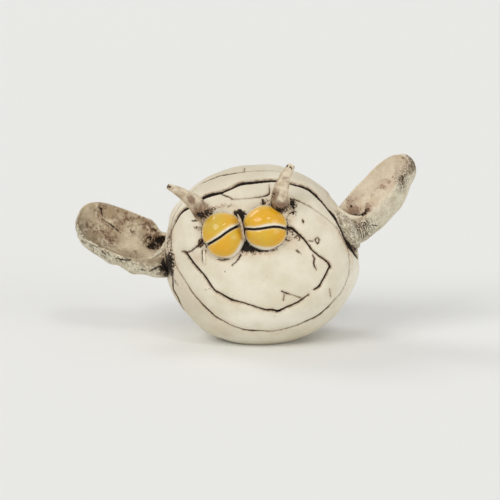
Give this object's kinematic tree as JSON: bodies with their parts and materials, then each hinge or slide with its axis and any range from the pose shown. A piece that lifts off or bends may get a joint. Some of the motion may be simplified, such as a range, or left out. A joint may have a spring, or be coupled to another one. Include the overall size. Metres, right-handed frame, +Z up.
{
  "type": "earthenware animal figurine",
  "caption": "Rounded clay drum with a seamed face, scoop ears, short horns and bulging glazed eyes, standing on a small flat foot",
  "frame": {"origin": "on the flat foot, straight below the middle of the body", "axes": "+Z up, +X along the line through both ears, the face looks along -Y"},
  "size_m": [0.1694, 0.0753, 0.093],
  "materials": {
    "fired_clay": "matte cream earthenware with dark oxide stain rubbed into its seams and pits",
    "eye_glaze": "thick glossy amber yellow glaze that leaves a white rim"
  },
  "bodies": {
    "root": {"figurine": "fired_clay"}
  },
  "joints": []
}
